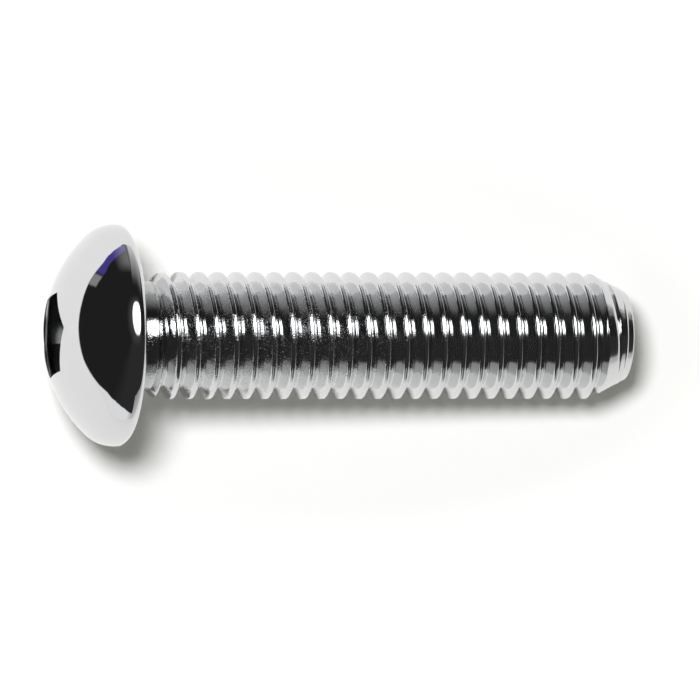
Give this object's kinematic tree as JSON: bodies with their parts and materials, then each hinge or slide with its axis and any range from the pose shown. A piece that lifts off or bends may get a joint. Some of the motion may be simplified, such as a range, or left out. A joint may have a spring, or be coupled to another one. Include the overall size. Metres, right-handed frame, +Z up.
{
  "type": "button head screw",
  "caption": "Button head socket screw: a low domed head with a hexagon socket on a fully threaded shank with a short neck and a pointed tip.",
  "frame": {"origin": "on the floor under the middle of the screw as it lies, at the centre of its bounding box in X and Y", "axes": "+Z up; +X from the head to the tip, seen from above; the screw's own axis dips towards the tip in the XZ plane"},
  "size_m": [0.046, 0.0171, 0.017],
  "materials": {
    "plated_steel": "bright plated, slightly speckled on the thread"
  },
  "bodies": {
    "root": {"button_head_screw": "plated_steel"}
  },
  "joints": []
}
